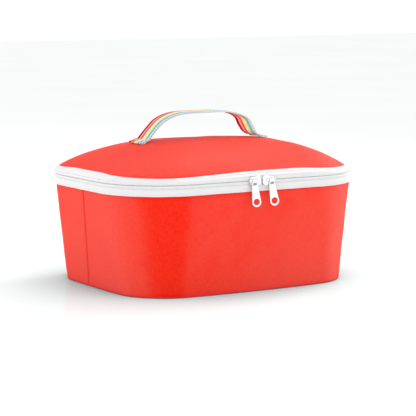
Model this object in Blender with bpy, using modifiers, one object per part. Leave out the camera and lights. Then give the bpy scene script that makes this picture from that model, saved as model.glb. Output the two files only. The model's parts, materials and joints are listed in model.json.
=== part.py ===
"""Soft insulated lunch bag: a tapered tub, a domed lid on a fabric hinge, a zip and a webbing handle.

Metres, +Z up. The origin is the middle of the underside, the front faces -Y and the width runs along X.
Every sub-part is one closed solid. Neighbouring solids keep a gap of at least CLEARANCE.
"""
import math
from collections import namedtuple

import bmesh
import bpy
from mathutils import Matrix, Vector

# ---- driving dimensions ----
CLEARANCE = 0.0003
WELD = 0.00001

MOUTH_HALF_X = 0.1425        # outside of the wall where the zip is sewn on
MOUTH_HALF_Y = 0.106
MOUTH_CORNER = 0.066
MOUTH_BOW_X = 0.003          # how far the middle of each end wall stands out
WALL_HEIGHT = 0.1026

FOOT_HALF_X = 0.1290         # the wall's outline where it meets the ground
FOOT_HALF_Y = 0.0982
FOOT_CORNER = 0.046
FOOT_BOW_X = 0.0027
FOOT_BOW_Y = 0.0085
FOOT_FILLET = 0.003

LID_HALF_X = 0.1365          # where the upper tape is sewn to the lid
LID_HALF_Y = 0.100
LID_CORNER = 0.054
LID_BOW_X = 0.002
LID_BOW_Y = 0.001
LID_SEAM_HEIGHT = 0.1217
DOME_RISE = 0.0263
DOME_POWER = 2.94            # larger is a flatter crown
DOME_SHOULDER = 0.948
DOME_LEVELS = (0.94, 0.84, 0.68, 0.46, 0.24)
FOAM_RIM = 0.985             # how far the lid's foam and lining reach towards its rim
LINING_RIM = 0.965

FABRIC = 0.001               # thickness of the outer fabric
FOAM = 0.005
LINING = 0.0008
LINING_FILLET = 0.003
BINDING = 0.002
BINDING_WIDTH = 0.0073
BACKING = 0.0008

FOAM_DROP = 0.0016           # how far the wall's foam and lining end below its fabric
LINING_DROP = 0.0046
LID_BINDING_INSET = 0.0088
LID_BINDING_WIDTH = 0.0025

CHAIN_HEIGHT = 0.1137        # the line where the two halves of the zip meet
CHAIN_HALF_WIDTH = 0.0030
CHAIN_DEPTH = 0.0022
CHAIN_BULGE = 0.0030         # how far the chain stands out from the mouth of the wall
CHAIN_ROUNDING = 0.0006
TAPE = 0.0008
TAPE_BULGE = 0.0022

HINGE_OUTSET = 0.0033        # the fold line lies this far behind the mouth of the wall
FOLD_GAP = 0.0007            # the upper half of the hinge starts this far above the fold line
TAPE_LIFT = 0.0005           # the upper tape leans inwards, so it starts a little above the chain
SEAM_DROP = 0.0010           # the rim of the lid's fabric turns down, so the tape ends a little below it
SEAM_OUTSET = 0.0003
HINGE_LINING_INSET = 0.0077

STOP_SIZE = (0.001, 0.0035, 0.0024)
STOP_STATIONS = {"left": 1.3, "right": 10.7}

HANDLE_CENTRE_Y = 0.005
WEBBING_WIDTH = 0.025
WEBBING = 0.0015
HANDLE_FOOT_X = 0.0715       # where the webbing leaves the lid
HANDLE_TOP = 0.1765
HANDLE_END_LENGTH = 0.011    # the part sewn flat on the lid
HANDLE_SHOULDER = ((0.0, 0.0), (0.030, 0.0012), (0.050, 0.0075), (0.061, 0.0175))  # outwards, down from the top
HANDLE_ANKLE = ((0.0050, 0.0045), (CLEARANCE, 0.0018))                             # inwards, up from the foot
HANDLE_AXIS_LIFT = 0.002     # the fold axis above the dome
HANDLE_STEPS = 3
BACKING_LENGTH = 0.020
BACKING_WIDTH = 0.031

SLIDER_X = {"left": -0.0053, "right": 0.0091}
SLIDER_LENGTH = 0.0127
SLIDER_WIDTH = 0.0112
SLIDER_PLATE = 0.001
SLIDER_ROUNDING = 0.0004
LIP_SIZE = (0.0107, 0.0007, 0.0012)
BAIL_OFFSET = {"left": -0.0028, "right": 0.0034}
BAIL_RADIUS = 0.0007
BAIL_SPAN = 0.0070
EYE_INNER = 0.0010
EYE_OUTER = 0.0016
EYE_LENGTH = 0.0042

TAB_LENGTH = 0.0219          # from the pivot to the middle of the round end
TAB_END_RADIUS = 0.0050
TAB_HOLE_RADIUS = 0.0034
TAB_NECK_HALF = 0.0034
TAB_THICKNESS = 0.0012
TAB_LEAN = {"left": math.radians(7.0), "right": math.radians(9.5)}
TAB_HOLE_LIFT = 0.0002

# ---- stations round an outline ----
# 0 back middle, 1-2 back left corner, 3 left middle, 4-5 front left corner, 6 front middle,
# 7-8 front right corner, 9 right middle, 10-11 back right corner, 12 back middle again.
STRAIGHT_STEPS = 2
CORNER_STEPS = 5
SEAM_SHIFT = 0.004           # half of the clearance at a side seam, in stations
ZIP_END_SHIFT = 0.010        # the clearance where the zip meets the hinge panel, in stations

RED = (0.92, 0.09, 0.05, 1.0)
WHITE = (0.90, 0.90, 0.90, 1.0)
SILVER = (0.72, 0.73, 0.75, 1.0)
FOAM_WHITE = (0.85, 0.85, 0.82, 1.0)
STRIPES = (0.85, 0.55, 0.45, 1.0)

Ring = namedtuple("Ring", "half_x half_y corner bow_x bow_y z")


# ---- outlines ----
def outline_point(station, ring):
    """A point of a rounded rectangle whose sides bow slightly, as a Vector."""
    quarter, part = divmod(station % 12.0, 3.0)
    if int(quarter) % 2:
        part = 3.0 - part
    straight_x = ring.half_x - ring.corner
    straight_y = ring.half_y - ring.corner
    if part <= 1.0:
        x, y = straight_x * part, ring.half_y
    elif part <= 2.0:
        turn = (part - 1.0) * math.pi / 2.0
        x = straight_x + ring.corner * math.sin(turn)
        y = straight_y + ring.corner * math.cos(turn)
    else:
        x, y = ring.half_x, straight_y * (3.0 - part)
    x_share, y_share = x / ring.half_x, y / ring.half_y
    x += ring.bow_x * x_share * (1.0 - y_share ** 2)
    y += ring.bow_y * y_share * (1.0 - x_share ** 2)
    side_x = -1.0 if quarter < 2 else 1.0
    side_y = 1.0 if quarter in (0, 3) else -1.0
    return Vector((side_x * x, side_y * y, ring.z))


def stations(start, stop):
    """Stations from start to stop, with every change between straight and corner among them."""
    marks = [start] + [m for m in range(math.ceil(start), math.floor(stop) + 1) if start < m < stop] + [stop]
    found = [start]
    for low, high in zip(marks, marks[1:]):
        steps = CORNER_STEPS if math.floor(low) % 3 == 1 else STRAIGHT_STEPS
        found += [low + (high - low) * k / steps for k in range(1, steps + 1)]
    return found


def mouth_ring(z, outset=0.0):
    """The outline at the mouth of the wall, moved outwards."""
    return Ring(MOUTH_HALF_X + outset, MOUTH_HALF_Y + outset, MOUTH_CORNER + outset, MOUTH_BOW_X, 0.0, z)


def wall_ring(z, inset=0.0):
    """The outline of the wall at a height, between its foot and its mouth, moved inwards."""
    share = z / WALL_HEIGHT
    half_x = FOOT_HALF_X + (MOUTH_HALF_X - FOOT_HALF_X) * share - inset
    half_y = FOOT_HALF_Y + (MOUTH_HALF_Y - FOOT_HALF_Y) * share - inset
    corner = FOOT_CORNER + (MOUTH_CORNER - FOOT_CORNER) * share - inset
    bow_x = FOOT_BOW_X + (MOUTH_BOW_X - FOOT_BOW_X) * share
    return Ring(half_x, half_y, corner, bow_x, FOOT_BOW_Y * (1.0 - share), z)


def lid_seam_ring(z, outset=0.0):
    """The outline where the lid is sewn to the zip, moved outwards."""
    return Ring(LID_HALF_X + outset, LID_HALF_Y + outset, LID_CORNER + outset, LID_BOW_X, LID_BOW_Y, z)


def upper_band_ring(share, bulge):
    """The zip band above the chain: share 0 is at the chain and 1 at the lid's seam."""
    chain = mouth_ring(CHAIN_HEIGHT, bulge)
    seam = lid_seam_ring(LID_SEAM_HEIGHT - SEAM_DROP, SEAM_OUTSET)
    inward = share ** 1.6
    sizes = [a + (b - a) * inward for a, b in zip(chain[:5], seam[:5])]
    return Ring(*sizes, chain.z + (seam.z - chain.z) * share)


def lower_band_ring(share, bulge):
    """The zip band below the chain: share 0 is at the wall's mouth and 1 at the chain."""
    low = WALL_HEIGHT + CLEARANCE
    return mouth_ring(low + (CHAIN_HEIGHT - low) * share, bulge * math.sin(share * math.pi / 2.0))


def dome_ring(spread, depth=0.0):
    """A level of the lid's dome; spread 1 is its rim. A deeper layer is inside and below."""
    rise = (1.0 - spread ** DOME_POWER) ** DOME_SHOULDER
    return Ring((LID_HALF_X - depth) * spread, (LID_HALF_Y - depth) * spread, (LID_CORNER - depth) * spread,
                LID_BOW_X * spread, LID_BOW_Y * spread, LID_SEAM_HEIGHT + DOME_RISE * rise - depth)


# ---- scene and objects ----
def clear_scene():
    for item in list(bpy.data.objects):
        bpy.data.objects.remove(item, do_unlink=True)


def make_collection(name):
    collection = bpy.data.collections.new(name)
    bpy.context.scene.collection.children.link(collection)
    return collection


def make_material(name, colour, roughness, metallic=0.0):
    material = bpy.data.materials.new(name)
    material.use_nodes = True
    shader = material.node_tree.nodes["Principled BSDF"]
    shader.inputs["Base Color"].default_value = colour
    shader.inputs["Roughness"].default_value = roughness
    shader.inputs["Metallic"].default_value = metallic
    return material


def add_object(name, data, finish):
    """Link a new object for the data, with its own material."""
    item = bpy.data.objects.new(name, data)
    BAG.objects.link(item)
    data.materials.append(make_material(name, *finish))
    return item


def add_pivot(name, place):
    """An empty on a joint's axis, to which what moves is parented."""
    pivot = bpy.data.objects.new(name, None)
    pivot.location = place
    BAG.objects.link(pivot)
    return pivot


def hang_on(item, pivot):
    """Parent an object to a pivot and keep it where it is."""
    item.parent = pivot
    item.matrix_parent_inverse = Matrix.Translation(pivot.location).inverted()


def mesh_from(bm, name):
    mesh = bpy.data.meshes.new(name)
    bm.to_mesh(mesh)
    bm.free()
    return mesh


def add_thickness(item, thickness, direction=-1.0):
    """Solidify an open surface; -1 grows away from its normals and 1 along them."""
    solid = item.modifiers.new("Solidify", "SOLIDIFY")
    solid.thickness = thickness
    solid.offset = direction
    solid.use_even_offset = True


def loft(name, rings, places, finish, thickness, top=False, bottom=False):
    """A sheet through the rings, given its thickness on its inner side. A whole loop closes on itself."""
    loop = places[-1] - places[0] > 11.999
    around = places[:-1] if loop else places
    bm = bmesh.new()
    rows = [[bm.verts.new(outline_point(t, ring)) for t in around] for ring in rings]
    for low, high in zip(rows, rows[1:]):
        for k in range(len(places) - 1):
            after = (k + 1) % len(around)
            bm.faces.new((low[k], low[after], high[after], high[k]))
    if top:
        bm.faces.new(rows[-1])
    if bottom:
        bm.faces.new(list(reversed(rows[0])))
    item = add_object(name, mesh_from(bm, name), finish)
    add_thickness(item, thickness)
    return item


def flat_plate(name, ring, thickness, finish):
    """A flat sheet with the ring's outline, standing on the ring's height."""
    curve = bpy.data.curves.new(name, "CURVE")
    curve.dimensions = "2D"
    curve.fill_mode = "BOTH"
    curve.extrude = thickness / 2.0
    around = stations(0.0, 12.0)[:-1]
    spline = curve.splines.new("POLY")
    spline.points.add(len(around) - 1)
    for point, place in zip(spline.points, around):
        x, y, _ = outline_point(place, ring)
        point.co = (x, y, 0.0, 1.0)
    spline.use_cyclic_u = True
    item = add_object(name, curve, finish)
    item.location = (0.0, 0.0, ring.z + thickness / 2.0)
    return item


def block(name, size, place, turn=0.0, bevel=0.0):
    """A box with rounded edges, as a mesh in the world's frame."""
    bm = bmesh.new()
    bmesh.ops.create_cube(bm, size=1.0)
    bmesh.ops.scale(bm, vec=size, verts=bm.verts)
    if bevel:
        bmesh.ops.bevel(bm, geom=bm.edges, offset=bevel, segments=2, profile=0.5, affect="EDGES")
    bmesh.ops.transform(bm, matrix=Matrix.Translation(place) @ Matrix.Rotation(turn, 4, "Z"), verts=bm.verts)
    return mesh_from(bm, name)


def combine(item, mesh, operation):
    """Join a solid to an object or cut it away; the solid stays a hidden cutter."""
    tool = bpy.data.objects.new(mesh.name, mesh)
    CUTTERS.objects.link(tool)
    tool.hide_render = True
    tool.display_type = "WIRE"
    step = item.modifiers.new(mesh.name, "BOOLEAN")
    step.operation = operation
    step.object = tool


# ---- body ----
def make_wall_panels():
    """The wall's fabric in two halves, which meet halfway along each side and turn under at the foot."""
    turns = [math.radians(angle) for angle in (0.0, 30.0, 60.0, 90.0)]
    foot = [wall_ring(FOOT_FILLET * (1.0 - math.cos(a)), FOOT_FILLET * (1.0 - math.sin(a))) for a in turns]
    rings = foot + [wall_ring(WALL_HEIGHT)]
    halves = {"front_outer_panel": (3.0, 9.0), "back_outer_panel": (9.0, 15.0)}
    for name, (start, stop) in halves.items():
        loft(name, rings, stations(start + SEAM_SHIFT, stop - SEAM_SHIFT), (RED, 0.8), FABRIC)


def make_base():
    flat_plate("base_outer_panel", wall_ring(0.0, FOOT_FILLET + CLEARANCE), FABRIC, (RED, 0.8))
    foam_height = FABRIC + CLEARANCE
    flat_plate("base_foam", wall_ring(foam_height, FOOT_FILLET), FOAM, (FOAM_WHITE, 0.9))


def make_wall_inside():
    """Foam, lining and binding inside the wall."""
    foam_inset = FABRIC + CLEARANCE
    floor = FABRIC + FOAM + 2.0 * CLEARANCE
    everywhere = stations(0.0, 12.0)
    foam_rings = [wall_ring(z, foam_inset) for z in (floor, WALL_HEIGHT - FOAM_DROP)]
    loft("wall_foam", foam_rings, everywhere, (FOAM_WHITE, 0.9), FOAM)
    lining_inset = foam_inset + FOAM + CLEARANCE
    lining_rings = [wall_ring(floor, lining_inset + LINING_FILLET),
                    wall_ring(floor + LINING_FILLET, lining_inset),
                    wall_ring(WALL_HEIGHT - LINING_DROP, lining_inset)]
    loft("body_lining", lining_rings, everywhere, (SILVER, 0.4), LINING, bottom=True)
    binding_inset = lining_inset + LINING + CLEARANCE
    binding_top = WALL_HEIGHT - CLEARANCE
    binding_rings = [wall_ring(z, binding_inset) for z in (binding_top - BINDING_WIDTH, binding_top)]
    loft("body_rim_binding", binding_rings, everywhere, (WHITE, 0.7), BINDING)


def make_lower_zip():
    """The lower tape and the lower half of the chain, open across the hinge."""
    zip_run = stations(1.0 + ZIP_END_SHIFT, 11.0 - ZIP_END_SHIFT)
    chain_foot = 1.0 - CHAIN_HALF_WIDTH / (CHAIN_HEIGHT - WALL_HEIGHT)
    tape_rings = [lower_band_ring(chain_foot * k / 2.0, TAPE_BULGE) for k in range(3)]
    loft("lower_zipper_tape", tape_rings, zip_run, (WHITE, 0.7), TAPE)
    low, high = CHAIN_HEIGHT - CHAIN_HALF_WIDTH + CLEARANCE, CHAIN_HEIGHT - CLEARANCE / 2.0
    loft("lower_zipper_coil", chain_rings(low, high), zip_run, (WHITE, 0.5), CHAIN_DEPTH)


def chain_rings(low, high):
    """Three levels that give one half of the chain a rounded face."""
    middle = (low + high) / 2.0
    side = CHAIN_BULGE - CHAIN_ROUNDING
    return [mouth_ring(low, side), mouth_ring(middle, CHAIN_BULGE), mouth_ring(high, side)]


def make_zip_stops():
    """A small clip at each end of the zip, on the face of the lower half of the chain."""
    outset = CHAIN_BULGE + CLEARANCE + STOP_SIZE[0] / 2.0
    ring = mouth_ring(CHAIN_HEIGHT - CHAIN_HALF_WIDTH / 2.0, outset)
    for side, station in STOP_STATIONS.items():
        place = outline_point(station, ring)
        turn = math.atan2(place.y - math.copysign(MOUTH_HALF_Y - MOUTH_CORNER, place.y),
                          place.x - math.copysign(MOUTH_HALF_X - MOUTH_CORNER, place.x))
        name = side + "_zipper_stop"
        mesh = block(name, STOP_SIZE, place, turn, bevel=CLEARANCE)
        add_object(name, mesh, (WHITE, 0.4))


def make_lower_hinge():
    """The half of the back hinge below its fold: a fabric panel outside and a lining strip inside."""
    run = stations(-1.0 + ZIP_END_SHIFT, 1.0 - ZIP_END_SHIFT)
    fold = 1.0 - CLEARANCE / 2.0 / (CHAIN_HEIGHT - WALL_HEIGHT)
    rings = [lower_band_ring(share * fold, TAPE_BULGE) for share in (0.0, 0.5, 1.0)]
    loft("hinge_panel_lower", rings, run, (RED, 0.8), FABRIC)
    levels = (WALL_HEIGHT + CLEARANCE, CHAIN_HEIGHT - CLEARANCE / 2.0)
    inner = [mouth_ring(z, -HINGE_LINING_INSET) for z in levels]
    loft("hinge_lining_lower", inner, run, (SILVER, 0.4), LINING)


# ---- lid ----
def make_lid():
    """Fabric, foam and lining domes, one inside the other, and the binding of their seam."""
    everywhere = stations(0.0, 12.0)
    foam_depth = FABRIC + BACKING + 2.0 * CLEARANCE
    lining_depth = foam_depth + FOAM + CLEARANCE
    layers = (("lid_outer_panel", 0.0, 1.0, (RED, 0.8), FABRIC),
              ("lid_foam", foam_depth, FOAM_RIM, (FOAM_WHITE, 0.9), FOAM),
              ("lid_lining", lining_depth, LINING_RIM, (SILVER, 0.4), LINING))
    for name, depth, rim, finish, thickness in layers:
        rings = [dome_ring(spread, depth) for spread in (rim,) + DOME_LEVELS]
        loft(name, rings, everywhere, finish, thickness, top=True)
    low = CHAIN_HEIGHT + CLEARANCE
    binding = [lid_seam_ring(z, -LID_BINDING_INSET) for z in (low, low + LID_BINDING_WIDTH)]
    loft("lid_rim_binding", binding, everywhere, (WHITE, 0.7), BINDING)


def make_upper_zip():
    """The upper tape and the upper half of the chain, open across the hinge."""
    zip_run = stations(1.0 + ZIP_END_SHIFT, 11.0 - ZIP_END_SHIFT)
    start = (CHAIN_HALF_WIDTH + TAPE_LIFT) / (LID_SEAM_HEIGHT - CHAIN_HEIGHT)
    tape_rings = [upper_band_ring(start + (1.0 - start) * k / 3.0, TAPE_BULGE) for k in range(4)]
    loft("upper_zipper_tape", tape_rings, zip_run, (WHITE, 0.7), TAPE)
    low, high = CHAIN_HEIGHT + CLEARANCE / 2.0, CHAIN_HEIGHT + CHAIN_HALF_WIDTH - CLEARANCE
    loft("upper_zipper_coil", chain_rings(low, high), zip_run, (WHITE, 0.5), CHAIN_DEPTH)


def make_upper_hinge():
    """The half of the back hinge above its fold."""
    run = stations(-1.0 + ZIP_END_SHIFT, 1.0 - ZIP_END_SHIFT)
    fold = FOLD_GAP / (LID_SEAM_HEIGHT - CHAIN_HEIGHT)
    rings = [upper_band_ring(fold + (1.0 - fold) * k / 3.0, TAPE_BULGE) for k in range(4)]
    loft("hinge_panel_upper", rings, run, (RED, 0.8), FABRIC)
    low = CHAIN_HEIGHT + CLEARANCE / 2.0
    inner = [mouth_ring(z, -HINGE_LINING_INSET) for z in (low, low + LID_BINDING_WIDTH)]
    loft("hinge_lining_upper", inner, run, (SILVER, 0.4), LINING)


def lid_patch(name, length, width, middle_x, gap, thickness, direction, finish):
    """A rectangle of cloth that follows the dome at a given gap from the outer fabric's face."""
    bm = bmesh.new()
    bmesh.ops.create_grid(bm, x_segments=4, y_segments=4, size=0.5)
    bmesh.ops.scale(bm, vec=(length, width, 1.0), verts=bm.verts)
    lift = (middle_x, HANDLE_CENTRE_Y, LID_SEAM_HEIGHT + 2.0 * DOME_RISE)
    bmesh.ops.translate(bm, vec=lift, verts=bm.verts)
    item = add_object(name, mesh_from(bm, name), finish)
    wrap = item.modifiers.new("Shrinkwrap", "SHRINKWRAP")
    wrap.target = bpy.data.objects["lid_outer_panel"]
    wrap.wrap_method = "PROJECT"
    wrap.use_project_z = True
    wrap.use_positive_direction = False
    wrap.use_negative_direction = True
    wrap.wrap_mode = "ABOVE_SURFACE"
    wrap.offset = gap
    add_thickness(item, thickness, direction)


def make_handle_ends():
    """The ends of the webbing, sewn flat on the lid, and the patches under the fabric that hold them."""
    middle = HANDLE_FOOT_X + HANDLE_END_LENGTH / 2.0
    for side, sign in (("left", -1.0), ("right", 1.0)):
        lid_patch(side + "_handle_end", HANDLE_END_LENGTH - CLEARANCE, WEBBING_WIDTH, sign * middle,
                  CLEARANCE, WEBBING, 1.0, (STRIPES, 0.8))
        lid_patch(side + "_handle_backing", BACKING_LENGTH, BACKING_WIDTH, sign * middle,
                  -FABRIC - CLEARANCE, BACKING, -1.0, (WHITE, 0.7))


# ---- handle ----
def handle_path():
    """Half of the handle's side view, from its top to the foot on the +X side."""
    foot = dome_ring(0.5).z + CLEARANCE
    knots = [Vector((outwards, HANDLE_TOP - drop)) for outwards, drop in HANDLE_SHOULDER]
    knots += [Vector((HANDLE_FOOT_X - inwards, foot + rise)) for inwards, rise in HANDLE_ANKLE]
    mirrored = Vector((-knots[1].x, knots[1].y))
    beyond = knots[-1] * 2.0 - knots[-2]
    ghosts = [mirrored] + knots + [beyond]
    path = []
    for k in range(1, len(ghosts) - 2):
        a, b, c, d = ghosts[k - 1:k + 3]
        for s in (step / HANDLE_STEPS for step in range(HANDLE_STEPS)):
            path.append(0.5 * (2.0 * b + (c - a) * s + (2.0 * a - 5.0 * b + 4.0 * c - d) * s ** 2
                               + (3.0 * b - a - 3.0 * c + d) * s ** 3))
    return path + [knots[-1]]


def make_handle():
    """The arch of webbing, whose fold axis runs through both of its feet."""
    half = handle_path()
    profile = [Vector((-p.x, p.y)) for p in reversed(half[1:])] + half
    bm = bmesh.new()
    rows = []
    for across in (-0.5, 0.5):
        y = HANDLE_CENTRE_Y + across * WEBBING_WIDTH
        rows.append([bm.verts.new((p.x, y, p.y)) for p in profile])
    near, far = rows
    for k in range(len(profile) - 1):
        bm.faces.new((near[k], near[k + 1], far[k + 1], far[k]))
    arch = add_object("handle_webbing", mesh_from(bm, "handle_webbing"), (STRIPES, 0.8))
    add_thickness(arch, WEBBING, 0.0)
    pivot = add_pivot("handle_fold_axis", (0.0, HANDLE_CENTRE_Y, dome_ring(0.5).z + HANDLE_AXIS_LIFT))
    hang_on(arch, pivot)
    return pivot


# ---- sliders ----
def bail_mesh(name, x, y_plate, y_bar, z):
    """A wire arch that stands on the slider's plate, with its bar along X."""
    curve = bpy.data.curves.new(name, "CURVE")
    curve.dimensions = "3D"
    curve.bevel_depth = BAIL_RADIUS
    curve.bevel_resolution = 2
    curve.use_fill_caps = True
    half, bend = BAIL_SPAN / 2.0, BAIL_RADIUS
    route = [(-half, y_plate), (-half, y_bar + bend), (-half + bend, y_bar),
             (half - bend, y_bar), (half, y_bar + bend), (half, y_plate)]
    spline = curve.splines.new("POLY")
    spline.points.add(len(route) - 1)
    for point, (along, y) in zip(spline.points, route):
        point.co = (x + along, y, z, 1.0)
    return mesh_of_curve(curve)


def make_slider(side):
    """A slider's face plate with a lip below the chain, and the bail that its tab hangs on."""
    x = SLIDER_X[side]
    front = -(MOUTH_HALF_Y + CHAIN_BULGE + CLEARANCE)
    plate_y = front - SLIDER_PLATE / 2.0
    name = side + "_slider_body"
    size = (SLIDER_LENGTH, SLIDER_PLATE, SLIDER_WIDTH)
    mesh = block(name, size, (x, plate_y, CHAIN_HEIGHT), bevel=SLIDER_ROUNDING)
    item = add_object(name, mesh, (WHITE, 0.3))
    lip_z = CHAIN_HEIGHT - SLIDER_WIDTH / 2.0 + LIP_SIZE[2] / 2.0 + SLIDER_ROUNDING
    combine(item, block(side + "_lip", LIP_SIZE, (x, front, lip_z)), "UNION")
    bail = bail_mesh(side + "_bail", x + BAIL_OFFSET[side], plate_y, slider_bar_y(), CHAIN_HEIGHT)
    combine(item, bail, "UNION")


def slider_bar_y():
    """Where the bail's bar runs: a tab's eye turns on it clear of the plate."""
    return -(MOUTH_HALF_Y + CHAIN_BULGE + 2.0 * CLEARANCE + SLIDER_PLATE + EYE_OUTER)


def tab_outline():
    """The tab's outline in its own plane, hanging from the pivot at (0, 0)."""
    top = -EYE_INNER / 2.0
    points = [Vector((TAB_NECK_HALF, top)), Vector((-TAB_NECK_HALF, top))]
    widening = math.asin((TAB_END_RADIUS - TAB_NECK_HALF) / (TAB_LENGTH + top))
    steps = 12
    for k in range(steps + 1):
        angle = math.pi - widening + (math.pi + 2.0 * widening) * k / steps
        points.append(Vector((math.cos(angle), math.sin(angle))) * TAB_END_RADIUS - Vector((0.0, TAB_LENGTH)))
    return points


def circle(radius, height):
    """A round outline about a point on the tab's middle line."""
    angles = [k * math.tau / 16.0 for k in range(16)]
    return [Vector((radius * math.cos(a), height + radius * math.sin(a))) for a in angles]


def plate_mesh(name, outlines, thickness):
    """A flat plate between its outer outline and its holes."""
    curve = bpy.data.curves.new(name, "CURVE")
    curve.dimensions = "2D"
    curve.fill_mode = "BOTH"
    curve.extrude = thickness / 2.0
    for points in outlines:
        spline = curve.splines.new("POLY")
        spline.points.add(len(points) - 1)
        for point, place in zip(spline.points, points):
            point.co = (place.x, place.y, 0.0, 1.0)
        spline.use_cyclic_u = True
    return mesh_of_curve(curve)


def mesh_of_curve(curve):
    """The welded mesh of a curve."""
    guide = bpy.data.objects.new(curve.name, curve)
    CUTTERS.objects.link(guide)
    mesh = bpy.data.meshes.new_from_object(guide.evaluated_get(bpy.context.evaluated_depsgraph_get()))
    bpy.data.objects.remove(guide)
    bm = bmesh.new()
    bm.from_mesh(mesh)
    bmesh.ops.remove_doubles(bm, verts=bm.verts, dist=WELD)
    return mesh_from(bm, curve.name)


def make_tab(side):
    """A flat pull tab with a round hole, and the eye that turns on the bail."""
    name = side + "_pull_tab"
    place = Vector((SLIDER_X[side] + BAIL_OFFSET[side], slider_bar_y(), CHAIN_HEIGHT))
    hole = circle(TAB_HOLE_RADIUS, TAB_HOLE_LIFT - TAB_LENGTH)
    mesh = plate_mesh(name, (tab_outline(), hole), TAB_THICKNESS)
    lean = Matrix.Rotation(-TAB_LEAN[side], 4, "Y") @ Matrix.Rotation(math.pi / 2.0, 4, "X")
    mesh.transform(Matrix.Translation(place) @ lean)
    item = add_object(name, mesh, (WHITE, 0.3))
    combine(item, cylinder(side + "_eye", EYE_OUTER, EYE_LENGTH, place), "UNION")
    combine(item, cylinder(side + "_bore", EYE_INNER, 2.0 * TAB_LENGTH, place), "DIFFERENCE")
    pivot = add_pivot(side + "_tab_axis", place)
    hang_on(item, pivot)
    return pivot


def cylinder(name, radius, length, place):
    """A cylinder along X."""
    bm = bmesh.new()
    bmesh.ops.create_cone(bm, cap_ends=True, segments=16, radius1=radius, radius2=radius, depth=length)
    turn = Matrix.Translation(place) @ Matrix.Rotation(math.pi / 2.0, 4, "Y")
    bmesh.ops.transform(bm, matrix=turn, verts=bm.verts)
    return mesh_from(bm, name)


# ---- assembly ----
clear_scene()
BAG = make_collection("lunch_bag")
CUTTERS = make_collection("cutters")
make_wall_panels()
make_base()
make_wall_inside()
make_lower_zip()
make_zip_stops()
make_lower_hinge()
make_lid()
make_upper_zip()
make_upper_hinge()
bpy.context.view_layer.update()
make_handle_ends()
handle_pivot = make_handle()
lid_pivot = add_pivot("lid_hinge_axis", (0.0, MOUTH_HALF_Y + HINGE_OUTSET, CHAIN_HEIGHT))
LID_PIECES = ("lid_outer_panel", "lid_foam", "lid_lining", "lid_rim_binding", "upper_zipper_tape",
              "upper_zipper_coil", "hinge_panel_upper", "hinge_lining_upper", "left_handle_end",
              "right_handle_end", "left_handle_backing", "right_handle_backing")
for piece in LID_PIECES:
    hang_on(bpy.data.objects[piece], lid_pivot)
hang_on(handle_pivot, lid_pivot)
for side in SLIDER_X:
    make_slider(side)
    hang_on(make_tab(side), bpy.data.objects[side + "_slider_body"])
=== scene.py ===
"""Looks of the soft insulated lunch bag: fabric, zip, webbing handle and painted sliders on the CAD frame.

Lengths are in metres and the frame's axes are used: +Z up, the front faces -Y, +X is to the right.
"""
import json
from collections import namedtuple
from math import asin, copysign, cos, floor, hypot, pi, radians, sin, tau

import bmesh
import bpy
import numpy as np
from mathutils import Matrix, Vector, noise


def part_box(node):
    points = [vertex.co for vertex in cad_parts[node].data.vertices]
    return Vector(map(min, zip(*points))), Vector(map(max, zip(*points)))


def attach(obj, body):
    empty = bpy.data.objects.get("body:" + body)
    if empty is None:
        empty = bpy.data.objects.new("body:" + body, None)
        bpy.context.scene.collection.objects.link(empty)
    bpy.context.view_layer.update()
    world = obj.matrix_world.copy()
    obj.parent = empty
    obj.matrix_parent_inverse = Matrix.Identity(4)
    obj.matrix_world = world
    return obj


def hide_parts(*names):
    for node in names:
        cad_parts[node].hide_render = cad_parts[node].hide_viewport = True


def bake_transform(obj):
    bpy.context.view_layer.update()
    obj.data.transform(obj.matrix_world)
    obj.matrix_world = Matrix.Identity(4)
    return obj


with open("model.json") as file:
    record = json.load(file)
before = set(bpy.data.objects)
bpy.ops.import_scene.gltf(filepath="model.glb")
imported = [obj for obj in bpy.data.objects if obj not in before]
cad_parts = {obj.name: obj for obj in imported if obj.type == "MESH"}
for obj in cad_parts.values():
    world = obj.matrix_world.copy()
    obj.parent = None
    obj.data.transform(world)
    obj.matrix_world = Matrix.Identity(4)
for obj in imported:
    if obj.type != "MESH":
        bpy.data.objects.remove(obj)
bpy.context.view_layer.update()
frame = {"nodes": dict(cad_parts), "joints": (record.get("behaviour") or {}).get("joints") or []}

MM = 0.001

# ---- sizes read from the frame ----
_, WALL_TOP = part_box("front_outer_panel")
_, BACK_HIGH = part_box("back_outer_panel")
_, LID_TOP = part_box("lid_outer_panel")
_, CHAIN_LOW_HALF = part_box("lower_zipper_coil")
CHAIN_HIGH_HALF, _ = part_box("upper_zipper_coil")
HANDLE_LOW, HANDLE_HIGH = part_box("handle_webbing")
LINING_LOW, LINING_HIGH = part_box("body_lining")
_, LID_LINING_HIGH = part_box("lid_lining")
JOINTS = {joint["name"]: joint for joint in frame["joints"]}

MOUTH_BOW_X = 3.0 * MM
MOUTH_HALF_X = WALL_TOP[0] - MOUTH_BOW_X
MOUTH_HALF_Y = BACK_HIGH[1]
MOUTH_CORNER = 66.0 * MM
WALL_HEIGHT = WALL_TOP[2]
FOOT_FILLET = 3.0 * MM

LID_BOW_X, LID_BOW_Y = 2.0 * MM, 1.0 * MM
LID_HALF_X = LID_TOP[0] - LID_BOW_X
LID_HALF_Y = LID_TOP[1] - LID_BOW_Y
LID_CORNER = 54.0 * MM
LID_SEAM = 121.7 * MM
DOME_RISE = LID_TOP[2] - LID_SEAM
DOME_POWER, DOME_SHOULDER = 2.94, 0.948
PLATE_OUTSET = 3.3 * MM       # how far the back of a slider's plate stands in front of the mouth
TAB_LEAN = {"left": 7.0, "right": 9.5}    # degrees

CHAIN_Z = (CHAIN_LOW_HALF[2] + CHAIN_HIGH_HALF[2]) / 2.0
CHAIN_HALF = 3.35 * MM        # half of the chain's height, both coils together
TAPE_BULGE = 1.6 * MM         # how far the tapes stand out where they meet the chain
CHAIN_OUTSET = 1.35 * MM      # the middle of the chain, from the mouth of the wall

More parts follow.
